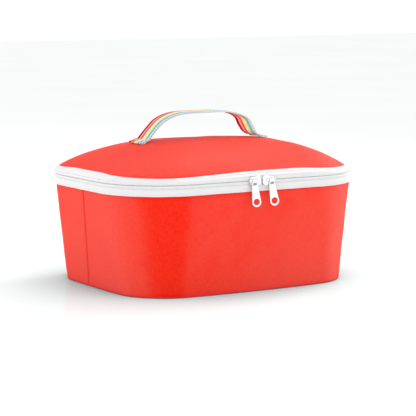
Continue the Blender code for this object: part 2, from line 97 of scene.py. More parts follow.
HANDLE_Y = (HANDLE_LOW[1] + HANDLE_HIGH[1]) / 2.0
WEBBING_HALF = (HANDLE_HIGH[1] - HANDLE_LOW[1]) / 2.0
WEBBING = 1.3 * MM
HANDLE_FOOT_X = HANDLE_HIGH[0]

FABRIC = 0.8 * MM
NAP_LEAN = (-0.133, 0.0, 0.0)  # how far the fabric's fibres lean from its normal
TAPE = 0.6 * MM
LINING_FILM = 0.5 * MM
SPACING = 2.5 * MM            # size of the outer cloth's mesh
COARSE = 4.0 * MM             # size of the mesh inside
CLOSE = 0.01 * MM             # points closer than this are one point
UP = np.array([0.0, 0.0, 1.0])

# A level of the bag: its half sizes, the radius of its corners, how far its sides bow out, and its height.
Ring = namedtuple("Ring", "half_x half_y corner bow_x bow_y z")
FOOT = Ring(129.0 * MM, 98.2 * MM, 46.0 * MM, 2.7 * MM, 8.5 * MM, 0.0)
MOUTH = Ring(MOUTH_HALF_X, MOUTH_HALF_Y, MOUTH_CORNER, MOUTH_BOW_X, 0.0, WALL_HEIGHT)
RIM = Ring(LID_HALF_X, LID_HALF_Y, LID_CORNER, LID_BOW_X, LID_BOW_Y, LID_SEAM)

# Two opposite corners that the filled-out cloth pushes outwards: the station, its reach, the direction, and
# how far the corner stands out, in millimetres, at each of the push levels.
PUSH_LEVELS = (0.0, WALL_HEIGHT, CHAIN_Z, LID_SEAM)
PUSHED_CORNERS = ((7.65, 0.95, (0.85, -0.526), (-0.6, 2.4, 2.3, 1.3)),
                  (1.65, 0.80, (-0.85, 0.526), (-0.8, 1.0, 0.2, 2.5)))


# ---- outlines ----
def corner_push(station, ring):
    """How far the outer cloth stands out at a station, as a vector in the plane. It fades over the lid."""
    fade = min(ring.half_x / LID_HALF_X, 1.0) ** 6 if ring.z > WALL_HEIGHT else 1.0
    total = np.zeros(2)
    for middle, reach, direction, amounts in PUSHED_CORNERS:
        out = np.interp(ring.z, PUSH_LEVELS, amounts) * MM * fade
        total += out * bump(station % 12.0, middle, reach) * np.array(direction)
    return total


def outline_point(station, ring, pushed=True):
    """A point of the frame's rounded outline. 12 stations go anticlockwise from the middle of the back."""
    quarter, part = divmod(station % 12.0, 3.0)
    if int(quarter) % 2:
        part = 3.0 - part
    straight_x, straight_y = ring.half_x - ring.corner, ring.half_y - ring.corner
    if part <= 1.0:
        x, y = straight_x * part, ring.half_y
    elif part <= 2.0:
        turn = (part - 1.0) * pi / 2.0
        x = straight_x + ring.corner * sin(turn)
        y = straight_y + ring.corner * cos(turn)
    else:
        x, y = ring.half_x, straight_y * (3.0 - part)
    x_share, y_share = x / ring.half_x, y / ring.half_y
    x += ring.bow_x * x_share * (1.0 - y_share ** 2)
    y += ring.bow_y * y_share * (1.0 - x_share ** 2)
    side_x = -1.0 if quarter < 2 else 1.0
    side_y = 1.0 if quarter in (0, 3) else -1.0
    push = corner_push(station, ring) if pushed else (0.0, 0.0)
    return np.array((side_x * x + push[0], side_y * y + push[1], ring.z))


def stations(start, stop, spacing=SPACING):
    """Stations from start to stop that are about the spacing apart on the mouth's outline."""
    lengths = (MOUTH_HALF_X - MOUTH_CORNER, MOUTH_CORNER * pi / 2.0, MOUTH_HALF_Y - MOUTH_CORNER)
    found = [start]
    low = start
    while low < stop - 1e-9:
        whole = floor(low + 1e-9)
        high = min(whole + 1.0, stop)
        part = whole % 6
        length = lengths[part if part < 3 else 5 - part] * (high - low)
        steps = max(1, round(length / spacing))
        found += [low + (high - low) * k / steps for k in range(1, steps + 1)]
        low = high
    return found


def rows_of(rings, places, pushed=True):
    """Points of the rings at the stations: rows x columns x 3."""
    return np.array([[outline_point(t, ring, pushed) for t in places] for ring in rings])


def grown(ring, outset, z):
    """A ring moved outwards and put at a height."""
    half_x, half_y, corner = (size + outset for size in ring[:3])
    return Ring(half_x, half_y, corner, ring.bow_x, ring.bow_y, z)


def between(low, high, share):
    """A ring part of the way from one to another."""
    return Ring(*(a + (b - a) * share for a, b in zip(low, high)))


def mouth_ring(z, outset=0.0):
    return grown(MOUTH, outset, z)


def wall_ring(z, inset=0.0):
    """The outline of the wall at a height, between its foot and its mouth, moved inwards."""
    return grown(between(FOOT, MOUTH, z / WALL_HEIGHT), -inset, z)


def lid_ring(z, outset=0.0):
    return grown(RIM, outset, z)


def dome_ring(spread, depth=0.0):
    """A level of the lid's dome; spread 1 is its rim. A deeper layer is inside and below."""
    rise = max(0.0, 1.0 - spread ** DOME_POWER) ** DOME_SHOULDER
    return Ring((LID_HALF_X - depth) * spread, (LID_HALF_Y - depth) * spread, (LID_CORNER - depth) * spread,
                LID_BOW_X * spread, LID_BOW_Y * spread, LID_SEAM + DOME_RISE * rise - depth)


def lower_band_ring(share, outset=0.0):
    """The zip band below the chain: share 0 is at the wall's mouth and 1 at the chain's middle."""
    bulge = TAPE_BULGE * sin(share * pi / 2.0)
    return mouth_ring(WALL_HEIGHT + (CHAIN_Z - WALL_HEIGHT) * share, bulge + outset)


def upper_band_ring(share, outset=0.0):
    """The zip band above the chain: share 0 is at the chain's middle and 1 at the lid's seam."""
    ring = between(mouth_ring(CHAIN_Z, TAPE_BULGE), RIM, share ** 3)
    return grown(ring, outset, CHAIN_Z + (LID_SEAM - CHAIN_Z) * share)


def shrunk(ring, shares, z):
    """Smaller copies of a ring at one height, for a flat sheet that fills it."""
    return [Ring(ring.half_x * s, ring.half_y * s, ring.corner * s, 0.0, ring.bow_y * s, z) for s in shares]


def bump(value, middle, reach):
    """A smooth hump of height 1 about the middle."""
    share = np.clip(np.abs(value - middle) / reach, 0.0, 1.0)
    return (1.0 - share ** 2) ** 2


# Where the lid's seam is pulled up or down: the station, its reach and the height in millimetres.
SEAM_PULLS = ((6.35, 0.9, 0.8), (4.75, 1.1, -2.1), (7.45, 0.9, -2.1), (8.0, 0.6, -0.9), (1.7, 0.7, -1.4))


def seam_lift(places):
    """How far the lid's seam is above its level, at the stations."""
    t = np.array(places) % 12.0
    return sum(height * MM * bump(t, middle, reach) for middle, reach, height in SEAM_PULLS)


# How the lid leans along X: the middle, the reach and the height of each swell, in millimetres.
LID_SWELLS = ((72.0, 62.0, 1.9), (-95.0, 50.0, -0.7), (56.0, 38.0, -1.3), (-29.0, 36.0, 0.7))
TENT_REACH, TENT_LIFT = 34.0 * MM, {"left": 3.4 * MM, "right": 1.2 * MM}


def lid_lift(x, y):
    """How far the lid's cloth stands above the plain dome: swells, and tents where the handle pulls at it."""
    swell = sum(height * MM * bump(x, middle * MM, reach * MM) for middle, reach, height in LID_SWELLS)
    left = TENT_LIFT["left"] * bump(x, -HANDLE_FOOT_X - 4.0 * MM, TENT_REACH)
    right = TENT_LIFT["right"] * bump(x, HANDLE_FOOT_X, TENT_REACH)
    return swell + (left + right) * bump(y, HANDLE_Y - 4.0 * MM, TENT_REACH)


def dome_height(x, y, depth=0.0):
    """Height of the lid's dome above a point, found by halving."""
    low, high = 0.0, 1.0
    for _ in range(24):
        middle = (low + high) / 2.0
        ring = dome_ring(middle, depth)
        if inside(x, y, ring):
            high = middle
        else:
            low = middle
    return dome_ring(high, depth).z


def inside(x, y, ring):
    """Whether a point is inside a ring's outline, its bow left out."""
    over_x = max(0.0, abs(x) - (ring.half_x - ring.corner))
    over_y = max(0.0, abs(y) - (ring.half_y - ring.corner))
    return hypot(over_x, over_y) <= ring.corner


# ---- meshes ----
def put(thing, **values):
    """Set some attributes of a thing."""
    for name, value in values.items():
        setattr(thing, name, value)


def link(name, data, material=None):
    """A new object in the scene, with its material if it has one."""
    item = bpy.data.objects.new(name, data)
    bpy.context.scene.collection.objects.link(item)
    if material:
        data.materials.append(material)
    return item


def lengths_along(points, axis):
    """Distance run along the rows or the columns of a grid of points."""
    steps = np.linalg.norm(np.diff(points, axis=axis), axis=2)
    start = np.zeros_like(np.take(steps, [0], axis=axis))
    return np.cumsum(np.concatenate([start, steps], axis=axis), axis=axis)


def sheet_mesh(name, points, loop=False, top=False, bottom=False):
    """A sheet through a grid of points, with a UV map in millimetres. A loop's last column is its first."""
    rows, columns = points.shape[:2]
    around = columns - 1 if loop else columns
    middle = rows // 2
    along = lengths_along(points, 1)[middle] / MM
    up = lengths_along(points, 0)[:, columns // 2] / MM
    bm = bmesh.new()
    grid = [[bm.verts.new(points[i, j]) for j in range(around)] for i in range(rows)]
    uv = bm.loops.layers.uv.new("cloth")
    faces = [[(i, j), (i, j + 1), (i + 1, j + 1), (i + 1, j)]
             for i in range(rows - 1) for j in range(columns - 1)]
    if top:
        faces.append([(rows - 1, j) for j in range(around)])
    if bottom:
        faces.append([(0, j) for j in reversed(range(around))])
    for corners in faces:
        face = bm.faces.new([grid[i][j % around] for i, j in corners])
        for corner, (i, j) in zip(face.loops, corners):
            corner[uv].uv = (along[j], up[i])
    mesh = mesh_from(name, bm)
    mesh.shade_smooth()
    return mesh


def cloth_piece(name, points, material, thickness, loop=False, top=False, bottom=False, offset=-1.0):
    """A sheet of cloth with its thickness on its inner side, or half on each side at offset 0."""
    item = link(name, sheet_mesh(name, points, loop, top, bottom), material)
    put(item.modifiers.new("thickness", "SOLIDIFY"), thickness=thickness, offset=offset)
    return item


def welded_piece(name, points, material, loop=False):
    """A closed piece from a sheet that is rolled up: its edges are joined and its open ends are filled."""
    mesh = sheet_mesh(name, points, loop)
    bm = bmesh.new()
    bm.from_mesh(mesh)
    bmesh.ops.remove_doubles(bm, verts=bm.verts, dist=CLOSE)
    bmesh.ops.holes_fill(bm, edges=[e for e in bm.edges if e.is_boundary], sides=0)
    bmesh.ops.recalc_face_normals(bm, faces=bm.faces)
    bm.to_mesh(mesh)
    bm.free()
    return link(name, mesh, material)


def settle(piece, body, slot, *nodes):
    """Let a piece ride on its body and stand for its CAD nodes. The slot is not used."""
    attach(piece, body)
    if nodes:
        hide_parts(*nodes)


def turns(count):
    """The angles of a full turn, in equal steps."""
    return [k * tau / count for k in range(count)]


def tube(bm, rings, closed=False):
    """Faces from ring to ring, with a cap at each end or, when closed, back to the first ring."""
    for low, high in zip(rings, rings[1:] + rings[:1] if closed else rings[1:]):
        for k in range(len(low)):
            after = (k + 1) % len(low)
            bm.faces.new((low[k], low[after], high[after], high[k]))
    if not closed:
        bm.faces.new(rings[0][::-1])
        bm.faces.new(rings[-1])


def mesh_from(name, bm):
    """The mesh that was built in a bmesh, which is freed."""
    mesh = bpy.data.meshes.new(name)
    bm.to_mesh(mesh)
    bm.free()
    return mesh


def solid_piece(name, bm, material):
    """A smooth piece that was built face by face, with its faces turned outwards."""
    bmesh.ops.recalc_face_normals(bm, faces=bm.faces)
    mesh = mesh_from(name, bm)
    mesh.shade_smooth()
    return link(name, mesh, material)


def outward(points):
    """Unit normals of a grid of points, pointing to the outer side."""
    normal = np.cross(np.gradient(points, axis=1), np.gradient(points, axis=0))
    return normal / np.maximum(np.linalg.norm(normal, axis=2, keepdims=True), 1e-12)


def sideways(path):
    """Level unit normals along a path that runs round the bag, pointing to the outer side."""
    normals = np.cross(np.gradient(path, axis=0), UP)
    return normals / np.linalg.norm(normals, axis=1, keepdims=True)


def run_along(path):
    """Distance run along a path of points."""
    return lengths_along(path[None], 1)[0]


def unevenness(points, size, seed):
    """Smooth random heights from -1 to 1 for a grid of points; size is the width of a bump."""
    flat = points.reshape(-1, 3) / size
    heights = [noise.noise(Vector(p) + Vector((seed, 2.0 * seed, 0.0))) for p in flat]
    return np.array(heights).reshape(points.shape[:2])


# ---- materials ----
class Maker:
    """Short ways to add and join nodes in one material or world."""

    def __init__(self, block):
        block.use_nodes = True
        self.block, self.tree = block, block.node_tree
        self.shader = self.tree.nodes.get("Principled BSDF")

    def add(self, kind, given=(), **values):
        """A node of a kind, with what its inputs are given, in order or by name."""
        node = self.tree.nodes.new("ShaderNode" + kind)
        put(node, **values)
        for socket, value in given.items() if isinstance(given, dict) else enumerate(given):
            self.give(node.inputs[socket], value)
        return node

    def give(self, socket, value):
        """Set a socket to a number or a colour, or join another node's output to it."""
        if isinstance(value, bpy.types.NodeSocket):
            self.tree.links.new(value, socket)
        else:
            socket.default_value = (*value, 1.0) if socket.type == "RGBA" else value

    def shade(self, name, value):
        """Give a value to one of the shader's own sockets."""
        self.give(self.shader.inputs[name], value)

    def maths(self, operation, *values):
        return self.add("Math", values, operation=operation).outputs[0]

    def plus(self, first, second):
        return self.maths("ADD", first, second)

    def times(self, first, second):
        return self.maths("MULTIPLY", first, second)

    def line(self, value, slope, level):
        """The value times a slope, plus a level."""
        return self.maths("MULTIPLY_ADD", value, slope, level)

    def vectors(self, operation, *values):
        return self.add("VectorMath", values, operation=operation).outputs

    def apart(self, vector):
        """The three coordinates of a vector."""
        return self.add("SeparateXYZ", [vector]).outputs

    def uv(self):
        """The cloth's own coordinates in millimetres: along it and across it."""
        where = self.add("UVMap", uv_map="cloth").outputs[0]
        u, v, _ = self.apart(where)
        return where, u, v

    def place(self):
        """The object's own coordinates in metres."""
        return self.add("TexCoord").outputs["Object"]

    def noise(self, where, scale, detail=2.0, stretch=(1.0, 1.0, 1.0)):
        mapping = self.add("Mapping", {"Vector": where, "Scale": stretch})
        given = {"Vector": mapping.outputs[0], "Scale": scale, "Detail": detail}
        return self.add("TexNoise", given).outputs["Fac"]

    def ramp(self, factor, stops, constant=False):
        """Colours for a factor: the position and the colour of each stop."""
        node = self.add("ValToRGB", [factor])
        if constant:
            node.color_ramp.interpolation = "CONSTANT"
        elements = node.color_ramp.elements
        while len(elements) < len(stops):
            elements.new(0.5)
        for element, (position, colour) in zip(elements, stops):
            element.position = position
            element.color = (*colour, 1.0)
        return node.outputs[0]

    def mix(self, factor, first, second, blend="MIX"):
        given = {0: factor, 6: first, 7: second}
        return self.add("Mix", given, data_type="RGBA", blend_type=blend).outputs[2]

    def tint(self, colour, shade):
        """The two colours multiplied."""
        return self.mix(1.0, colour, shade, "MULTIPLY")

    def bump(self, height, strength, distance):
        """Relief on the shader."""
        node = self.add("Bump", {"Strength": strength, "Distance": distance, "Height": height})
        self.shade("Normal", node.outputs[0])

    def rise(self, *given):
        """A smooth step: it takes the value, where it starts and stops, and the levels before and after."""
        return self.add("MapRange", given, interpolation_type="SMOOTHSTEP").outputs[0]

    def nearness(self, distance, samples):
        """How open a point is: 1 in the open, and less within the distance of something else."""
        return self.add("AmbientOcclusion", {"Distance": distance}, samples=samples).outputs["AO"]

    def waves(self, value, pitch):
        """A sine along a coordinate, with the given pitch."""
        return self.maths("SINE", self.times(value, tau / pitch))


def surface(name, colour, roughness, **sockets):
    """A material's maker, with plain values set on the sockets of its shader."""
    make = Maker(bpy.data.materials.new(name))
    for socket, value in dict(sockets, Base_Color=colour, Roughness=roughness).items():
        make.shade(socket.replace("_", " "), value)
    return make


def grey(level, blue=0.0):
    """A grey that may be a little bluer than neutral."""
    return (level, level, level + blue)


def red_fabric(name, sheen, brightness_with_painted_shade, *edges):
    """Fine plain weave with slubs; threads and slubs vary a little in colour, and a deeper, clearer red near
    the foot and next to the zip tape is painted shade.

    The edges are heights, each with how much of the painted shade the colour has there. The brightness level
    is lower on the lid's copy: painted shade for the stronger light on top. The sheen is that of a nap that
    leans.
    """
    make = surface(name, (0.93, 0.022, 0.007), 0.6, Sheen_Roughness=0.75, Sheen_Tint=(1.0, 0.92, 0.78),
                   Specular_IOR_Level=0.08, Specular_Tint=(1.0, 0.86, 0.66))
    where, u, v = make.uv()
    pitch = 0.9
    weave = make.times(make.waves(u, pitch), make.waves(v, pitch))
    slubs = make.plus(*(make.noise(where, 1.0, 2.0, (a, b, 1.0)) for a, b in ((0.16, 0.9), (0.9, 0.16))))
    tone = make.plus(make.times(slubs, 0.55), make.times(make.noise(where, 0.03, 3.0), 0.2))
    # The third colour here is painted shade: a clearer red, without haze, for the foot and next to the zip
    # tape.
    light, dark, shaded_red = (0.94, 0.032, 0.011), (0.89, 0.013, 0.004), (0.97, 0.005, 0.002)
    colour = make.ramp(tone, [(0.48, dark), (0.82, light)])
    level = make.times(make.apart(make.place())[2], 1.0 / LID_TOP[2])
    # Painted shade mask by height: it rises at the heights given in the edges.
    depth = make.ramp(level, [(height / LID_TOP[2], grey(share)) for height, share in edges])
    # The brightness level set here is lower for the lid's copy: painted shade.
    threads = make.line(weave, 0.06, brightness_with_painted_shade)
    make.shade("Base Color", make.tint(make.mix(depth, colour, shaded_red), threads))
    leaning = make.vectors("ADD", make.add("NewGeometry").outputs["Normal"], NAP_LEAN)["Vector"]
    fibres = make.vectors("NORMALIZE", leaning)["Vector"]
    facing = make.add("LayerWeight", {"Normal": fibres}).outputs["Facing"]
    nap, grazing = make.rise(facing, 0.023, 0.136, 0.0, sheen), make.rise(facing, 0.28, 0.80, 1.0, 0.25)
    make.shade("Sheen Weight", make.times(nap, grazing))
    make.bump(make.plus(make.times(weave, 0.5), make.times(slubs, 1.6)), 0.4, 0.3 * MM)
    return make.block


def white_tape():
    """Herringbone zip tape, a little greyer in its valleys."""
    make = surface("white_tape", grey(0.86, 0.01), 0.7, Sheen_Weight=0.2, Sheen_Roughness=0.5)
    where, u, v = make.uv()
    twill = make.waves(make.plus(u, make.maths("PINGPONG", v, 1.6)), 0.8)
    fuzz = make.noise(where, 1.3, 3.0)
    tone = make.line(twill, 0.2, make.times(fuzz, 0.8))
    make.shade("Base Color", make.ramp(tone, [(0.1, grey(0.68, 0.005)), (0.75, grey(0.83))]))
    make.bump(make.plus(twill, make.times(fuzz, 1.5)), 0.3, 0.15 * MM)
    return make.block


def binding_cloth():
    """Grosgrain binding with ribs across it."""
    make = surface("binding_cloth", grey(0.84, 0.01), 0.75)
    where, u, _ = make.uv()
    ribs = make.waves(u, 1.1)
    tone = make.plus(make.times(ribs, 0.15), make.noise(where, 1.5, 3.0))
    make.shade("Base Color", make.ramp(tone, [(0.2, grey(0.62, 0.02)), (0.8, grey(0.88))]))
    make.bump(ribs, 0.35, 0.2 * MM)
    return make.block


def nylon_coil():
    """Satin white nylon with faint mould and cutting marks."""
    make = surface("nylon_coil", grey(0.68, 0.01), 0.42, Specular_IOR_Level=0.3)
    speckle = make.noise(make.place(), 900.0, 3.0)
    make.shade("Base Color", make.ramp(speckle, [(0.25, grey(0.62, 0.005)), (0.7, grey(0.76, 0.005))]))
    make.shade("Roughness", make.line(speckle, 0.25, 0.28))
    make.bump(speckle, 0.12, 0.1 * MM)
    return make.block


def thread():
    """Twisted polyester thread."""
    make = surface("white_thread", grey(0.88), 0.55, Sheen_Weight=0.3)
    twist = make.noise(make.place(), 2600.0, 2.0)
    make.shade("Base Color", make.ramp(twist, [(0.3, grey(0.66)), (0.7, grey(0.84))]))
    make.bump(twist, 0.3, 0.1 * MM)
    return make.block


def painted_metal():
    """Gloss white paint on die-cast metal: orange peel, and a few scuffs that show a greyer coat. It is
    painted darker in the gaps between parts, which is painted shade.
    """
    make = surface("white_paint", grey(0.80), 0.25, Coat_Weight=0.3, Coat_Roughness=0.1)
    where = make.place()
    peel = make.noise(where, 700.0, 2.0)
    scuffs = make.noise(where, 260.0, 6.0, (1.0, 1.0, 0.3))
    colour = make.ramp(scuffs, [(0.27, (0.74, 0.745, 0.75)), (0.36, grey(0.90))])
    # Painted shade: the colour darkens where other parts are close, in the gaps round the crown and the tab.
    painted_shade_stops = [(0.30, grey(0.38, 0.01)), (0.66, grey(0.72, 0.01)), (0.92, grey(1.0))]
    make.shade("Base Color", make.tint(colour, make.ramp(make.nearness(4.0 * MM, 6), painted_shade_stops)))
    make.shade("Roughness", make.line(scuffs, 0.2, 0.12))
    make.bump(peel, 0.08, 0.1 * MM)
    return make.block


# Stripes from the back edge to the front edge: where each starts across the webbing, and its colour.
STRIPES = ((0.00, (0.46, 0.0, 0.004)), (0.165, (0.90, 0.34, 0.46)), (0.28, (0.93, 0.13, 0.0)),
           (0.43, (0.86, 0.84, 0.86)), (0.56, (0.87, 0.88, 0.07)), (0.70, (0.13, 0.50, 0.68)),
           (0.86, (0.72, 0.74, 0.82)))


def striped_webbing():
    """Ribbed webbing with lengthways stripes, and a dashed thread along its front edge."""
    make = surface("striped_webbing", (0.8, 0.5, 0.4), 0.8, Specular_IOR_Level=0.0)
    where, u, v = make.uv()
    across = make.maths("DIVIDE", v, 2.0 * WEBBING_HALF / MM)
    wander = make.times(make.maths("SUBTRACT", make.noise(where, 1.2, 2.0), 0.5), 0.022)
    stripes = make.ramp(make.plus(across, wander), STRIPES, constant=True)
    ribs = make.waves(u, 1.25)
    weave = make.times(ribs, make.waves(v, 0.9))
    dashes = make.times(make.maths("GREATER_THAN", make.waves(u, 3.0), 0.1),
                        make.maths("GREATER_THAN", across, 0.93))
    colour = make.mix(dashes, stripes, (0.46, 0.45, 0.52))
    make.shade("Base Color", make.tint(colour, make.line(weave, 0.10, 0.90)))
    make.bump(make.plus(weave, make.times(ribs, 0.5)), 0.4, 0.2 * MM)
    return make.block


def silver_lining():
    """Wipe-clean film with a fine pressed grid and soft creases."""
    make = surface("silver_lining", (0.70, 0.71, 0.73), 0.32, Metallic=0.35)
    where = make.place()
    creases = make.noise(where, 70.0, 5.0)
    lines = [make.waves(axis, 3.0 * MM) for axis in make.apart(where)]
    grid = make.plus(make.plus(lines[0], lines[1]), lines[2])
    make.shade("Base Color", make.ramp(creases, [(0.3, (0.60, 0.61, 0.63)), (0.7, (0.76, 0.77, 0.79))]))
    make.shade("Roughness", make.line(creases, 0.3, 0.2))
    make.bump(make.plus(make.times(grid, 0.10), make.times(creases, 3.0)), 0.35, 0.5 * MM)
    return make.block


def foam_material():
    """Closed-cell foam: fine cells."""
    make = surface("closed_cell_foam", grey(0.84, -0.04), 0.85)
    cells = make.add("TexVoronoi", {"Scale": 1400.0, "Vector": make.place()}).outputs["Distance"]
    make.shade("Base Color", make.ramp(cells, [(0.0, grey(0.70, -0.04)), (0.6, grey(0.88, -0.04))]))
    make.bump(cells, 0.4, 0.3 * MM)
    return make.block


def floor_material():
    """Pale, matt studio table with a faint polish; near what stands on it, its colour is darker and takes up
    little red light, a painted shadow, and its polish reflects little red.
    """
    make = Maker(bpy.data.materials.new("pale_floor"))
    make.tree.nodes.remove(make.shader)
    mottle = make.noise(make.place(), 3.0, 3.0)
    # Painted shadow: the colour darkens, and loses more red, where ambient occlusion finds something close
    # by.
    colour = make.ramp(make.nearness(0.6, 8), [(0.26, (0.17, 0.26, 0.26)), (0.44, (0.45, 0.72, 0.72)),
                                                (0.60, (0.65, 0.86, 0.86)), (1.0, (0.98, 0.93, 0.93))])
    grain = make.ramp(mottle, [(0.3, grey(0.975)), (0.7, grey(1.0))])
    matt = make.add("BsdfDiffuse", {"Color": make.tint(colour, grain)})
    polish = make.add("BsdfGlossy", {"Color": (0.15, 0.94, 0.94), "Roughness": make.line(mottle, 0.06, 0.10)})
    both = make.add("MixShader", (0.07, matt.outputs[0], polish.outputs[0]))
    make.give(make.tree.nodes["Material Output"].inputs["Surface"], both.outputs[0])
    return make.block


# Painted shade gives the red fabric a deeper, clearer red at the foot and under the zip tape. The lid's copy
# is set darker, painted shade against the stronger light on top, and has painted shade above its seam.
RED = red_fabric("red_fabric", 0.21, 0.93, (2.5 * MM, 1.0), (5.5 * MM, 0.0), (WALL_HEIGHT - 4.5 * MM, 0.0),
                 (WALL_HEIGHT - 1.0 * MM, 0.7))
RED_LID = red_fabric("red_fabric_lid", 0.185, 0.87, (LID_SEAM, 0.8), (LID_SEAM + 1.8 * MM, 0.0))
TAPE_WHITE = white_tape()
BINDING = binding_cloth()
NYLON = nylon_coil()
THREAD = thread()
PAINT = painted_metal()
WEBBING_CLOTH = striped_webbing()
LINING = silver_lining()
FOAM = foam_material()


# ---- stitches ----
# A stitch along its length: the share of its length, its girth and how far it lifts, in its radius.
STITCH_SHAPE = ((0.0, 0.35, -0.4), (0.18, 0.9, 0.3), (0.5, 1.0, 0.5), (0.82, 0.9, 0.3), (1.0, 0.35, -0.4))


def stitches(name, path, normals, pitch, length, radius):
    """A row of short round-ended threads along a path of points."""
    run = run_along(path)

    def at(distance):
        spot, up = ([np.interp(distance, run, column) for column in values.T] for values in (path, normals))
        return Vector(spot), Vector(up).normalized()

    bm = bmesh.new()
    count = int(run[-1] / pitch)
    margin = (run[-1] - count * pitch) / 2.0
    for k in range(count):
        start = margin + (k + 0.5) * pitch - length / 2.0
        (a, up), (b, _) = at(start), at(start + length)
        side = (b - a).normalized().cross(up).normalized()
        rings = []
        for share, girth, lift in STITCH_SHAPE:
            centre = a + (b - a) * share + up * (lift * radius)
            rings.append([bm.verts.new(centre + (side * cos(t) + up * sin(t)) * radius * girth)
                          for t in turns(6)])
        tube(bm, rings)
    return solid_piece(name, bm, THREAD)


# ---- body fabric ----
def seam_y(height):
    """Where the side seams run: just in front of the middle at the mouth, behind it at the foot."""
    return 12.0 * MM - 14.0 * MM * height / WALL_HEIGHT


def wall_rows(rings, places):
    """Rows of the wall, whose columns follow the side seams near them."""
    rows = []
    for ring in rings:
        side = seam_y(ring.z) / (ring.half_y - ring.corner)
        shifts = (side * (bump(t, 3.0, 1.5) - bump(t % 12.0, 9.0, 1.5) + bump(t, 15.0, 1.5)) for t in places)
        rows.append([outline_point(t - shift, ring) for t, shift in zip(places, shifts)])
    return np.array(rows)


def share_of(value, reach):
    """The share of a reach that a value has run, from 0 to 1."""
    return np.clip(value / reach, 0.0, 1.0)


def dip(distance, width):
    """A smooth bell of height 1 at no distance."""
    return np.exp(-(distance / width) ** 2)


def soften_wall(points, seed):
    """Padding swells a little between the seams, dips at the side seam and has uneven spots."""
    height = points[..., 2]
    fade = share_of(height - 3.0 * MM, 18.0 * MM) * share_of(WALL_HEIGHT - height, 12.0 * MM)
    on_side = np.abs(points[..., 0]) > MOUTH_HALF_X - MOUTH_CORNER
    seam = np.where(on_side, points[..., 1] - seam_y(height), 1.0)
    groove = -0.5 * MM * dip(seam, 0.9 * MM) - 0.4 * MM * dip(seam, 7.0 * MM)
    bumps = 0.75 * MM * unevenness(points, 0.055, seed) + 0.25 * MM * unevenness(points, 0.018, seed + 7.0)
    mouth_roll = -0.5 * MM * dip(height - WALL_HEIGHT, 2.0 * MM)
    lift = fade * bumps + groove * share_of(height - 1.0 * MM, 6.0 * MM) + mouth_roll
    return points + outward(points) * np.maximum(lift, -1.1 * MM)[..., None]


# The foot's profile, from the edge that is turned under: inset and height of each level in millimetres.
FOOT_PROFILE = ((7.0, 0.05), (4.0, 0.07), (2.0, 0.14), (0.9, 0.3), (0.35, 0.6), (0.1, 1.0), (0.0, 1.8),
                (0.0, 4.4))


def make_wall():
    """Front and back panels: they turn under at the foot and run up behind the zip tape."""
    foot = [wall_ring(height * MM, inset * MM) for inset, height in FOOT_PROFILE]
    levels = np.linspace(FOOT_PROFILE[-1][1] * MM, WALL_HEIGHT + 1.2 * MM, 42)[1:]
    rings = foot + [wall_ring(z) for z in levels]
    for name, start, stop, node in (("front_cloth", 3.0, 9.0, "front_outer_panel"),
                                    ("back_cloth", 9.0, 15.0, "back_outer_panel")):
        points = soften_wall(wall_rows(rings, stations(start, stop)), 3.0)
        piece = cloth_piece(name, points, RED, FABRIC)
        settle(piece, "body", "red_fabric", node)


def make_base():
    """The fabric under the bag, with its edge over the turned-in wall."""
    edge = wall_ring(0.0, FOOT_FILLET + 4.5 * MM)
    rings = shrunk(edge, np.linspace(1.0, 0.02, 24), 0.1 * MM)
    points = rows_of(rings, stations(0.0, 12.0, 5.0 * MM))[:, ::-1]
    piece = cloth_piece("base_cloth", points, RED, FABRIC, loop=True, top=True)
    settle(piece, "body", "red_fabric", "base_outer_panel")


# ---- lid fabric ----
def make_lid():
    """The lid's domed cover, tucked under the tape at its rim."""
    rim = [dome_ring(s)._replace(z=LID_SEAM - drop) for s, drop in ((1.002, 1.6 * MM), (1.001, 0.8 * MM))]
    spreads = np.concatenate([np.linspace(1.0, 0.90, 12), np.linspace(0.90, 0.03, 40)[1:]])
    places = stations(0.0, 12.0)
    points = rows_of(rim + [dome_ring(s) for s in spreads], places)
    reach = np.concatenate([[1.0, 1.0], share_of(spreads - 0.80, 0.20) ** 2])
    points[..., 2] += reach[:, None] * seam_lift(places)[None, :]
    normal = outward(points)
    above = points[..., 2] - LID_SEAM
    points[..., 2] += lid_lift(points[..., 0], points[..., 1]) * share_of(above, 18.0 * MM)
    bumps = 0.7 * MM * unevenness(points, 0.05, 11.0) + 0.2 * MM * unevenness(points, 0.02, 17.0)
    points = points + normal * (share_of(above, 6.0 * MM) * bumps + pucker(points))[..., None]
    piece = cloth_piece("lid_cloth", points, RED_LID, FABRIC, loop=True, top=True)
    settle(piece, "lid", "red_fabric", "lid_outer_panel")


def pucker(points):
    """Small gathers where the lid's rim is eased round the corners, fading away from the seam."""
    over_x = np.abs(points[..., 0]) - (LID_HALF_X - LID_CORNER)
    over_y = np.abs(points[..., 1]) - (LID_HALF_Y - LID_CORNER)
    corner = share_of(over_x, LID_CORNER) * share_of(over_y, LID_CORNER)
    above = points[..., 2] - LID_SEAM
    fade = np.exp(-np.clip(above, 0, None) / (4.0 * MM)) * np.clip(above / (0.8 * MM) + 0.3, 0, 1)
    return 0.35 * MM * np.sin(np.arctan2(over_y, over_x) * 26.0) * fade * np.minimum(corner * 4.0, 1.0)


# ---- zip ----
ZIP_START, ZIP_STOP = 0.97, 11.03


